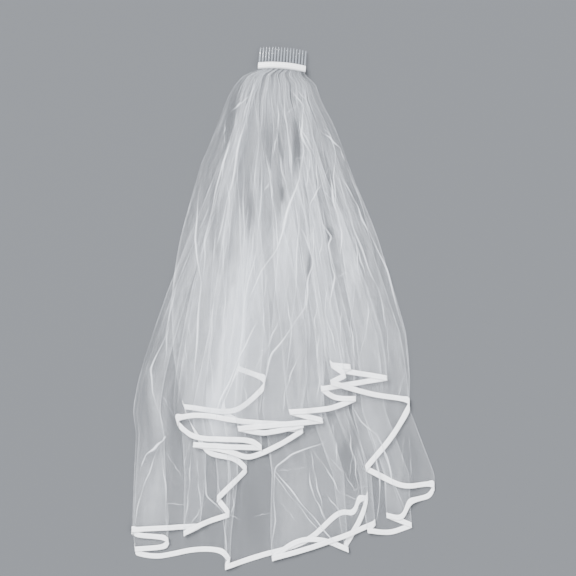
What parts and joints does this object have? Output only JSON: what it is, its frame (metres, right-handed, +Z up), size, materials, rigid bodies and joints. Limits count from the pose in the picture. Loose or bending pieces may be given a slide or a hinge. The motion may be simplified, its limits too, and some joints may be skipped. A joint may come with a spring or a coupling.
{
  "type": "bridal veil",
  "caption": "Sheer two-tier bridal veil with satin ribbon edging, gathered on a clear hair comb and laid flat in loose folds.",
  "frame": {"origin": "middle of the bounding box, on the surface the veil lies on", "axes": "+Z up out of the surface, +Y from the hem towards the comb, +X to the right seen from above"},
  "size_m": [0.4836, 0.8302, 0.0408],
  "materials": {
    "tulle": "sheer, matt",
    "satin_ribbon": "satin",
    "clear_plastic": "clear, polished"
  },
  "bodies": {
    "root": {"tulle_lower_tier": "tulle", "tulle_upper_tier": "tulle", "edging_lower_tier": "satin_ribbon", "edging_upper_tier": "satin_ribbon", "comb": "clear_plastic", "comb_wrap": "satin_ribbon"}
  },
  "joints": []
}
